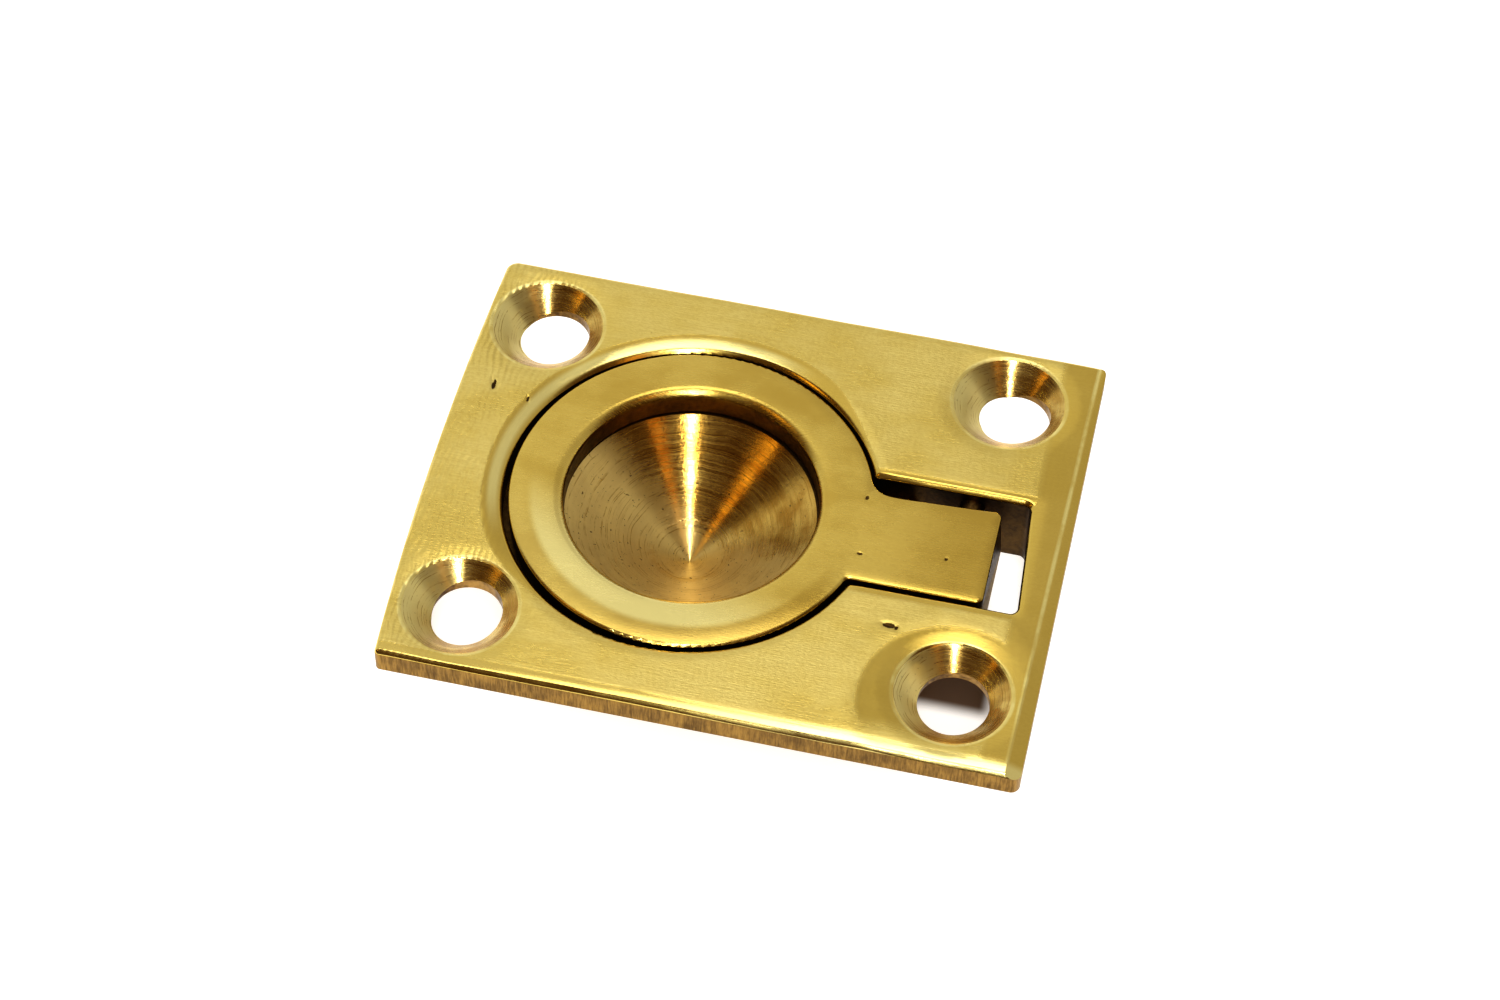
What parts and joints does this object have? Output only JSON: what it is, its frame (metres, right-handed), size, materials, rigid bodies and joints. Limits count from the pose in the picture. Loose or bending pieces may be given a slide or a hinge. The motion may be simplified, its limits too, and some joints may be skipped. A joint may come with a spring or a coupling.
{
  "type": "flush ring pull",
  "caption": "Rectangular brass flush pull: flat plate with countersunk screw holes, a round recess with a turned finger cup, and a flat ring hinged in a slot.",
  "frame": {"origin": "middle of the four screw holes, on the plane of the plate's back face, which lies on the door's surface around the mortise", "axes": "+X along the plate towards the hinge, +Y across the plate, +Z out of the polished face"},
  "size_m": [0.0501, 0.0402, 0.0102],
  "materials": {
    "plate_brass": "cast, face polished bright with fine polishing lines, cone and countersinks turned, back as cast",
    "ring_brass": "cast, face polished bright along the shank",
    "pin_brass": "drawn rod, dull"
  },
  "bodies": {
    "plate": {"backplate": "plate_brass", "hinge_pin": "pin_brass"},
    "ring": {"ring_pull": "ring_brass"}
  },
  "joints": [
    {"name": "ring_lift", "type": "hinge", "parent": "plate", "child": "ring", "pos_m": [0.017, 0, 0.0003], "axis": [0, 1, 0], "range_deg": [0, 135]}
  ]
}
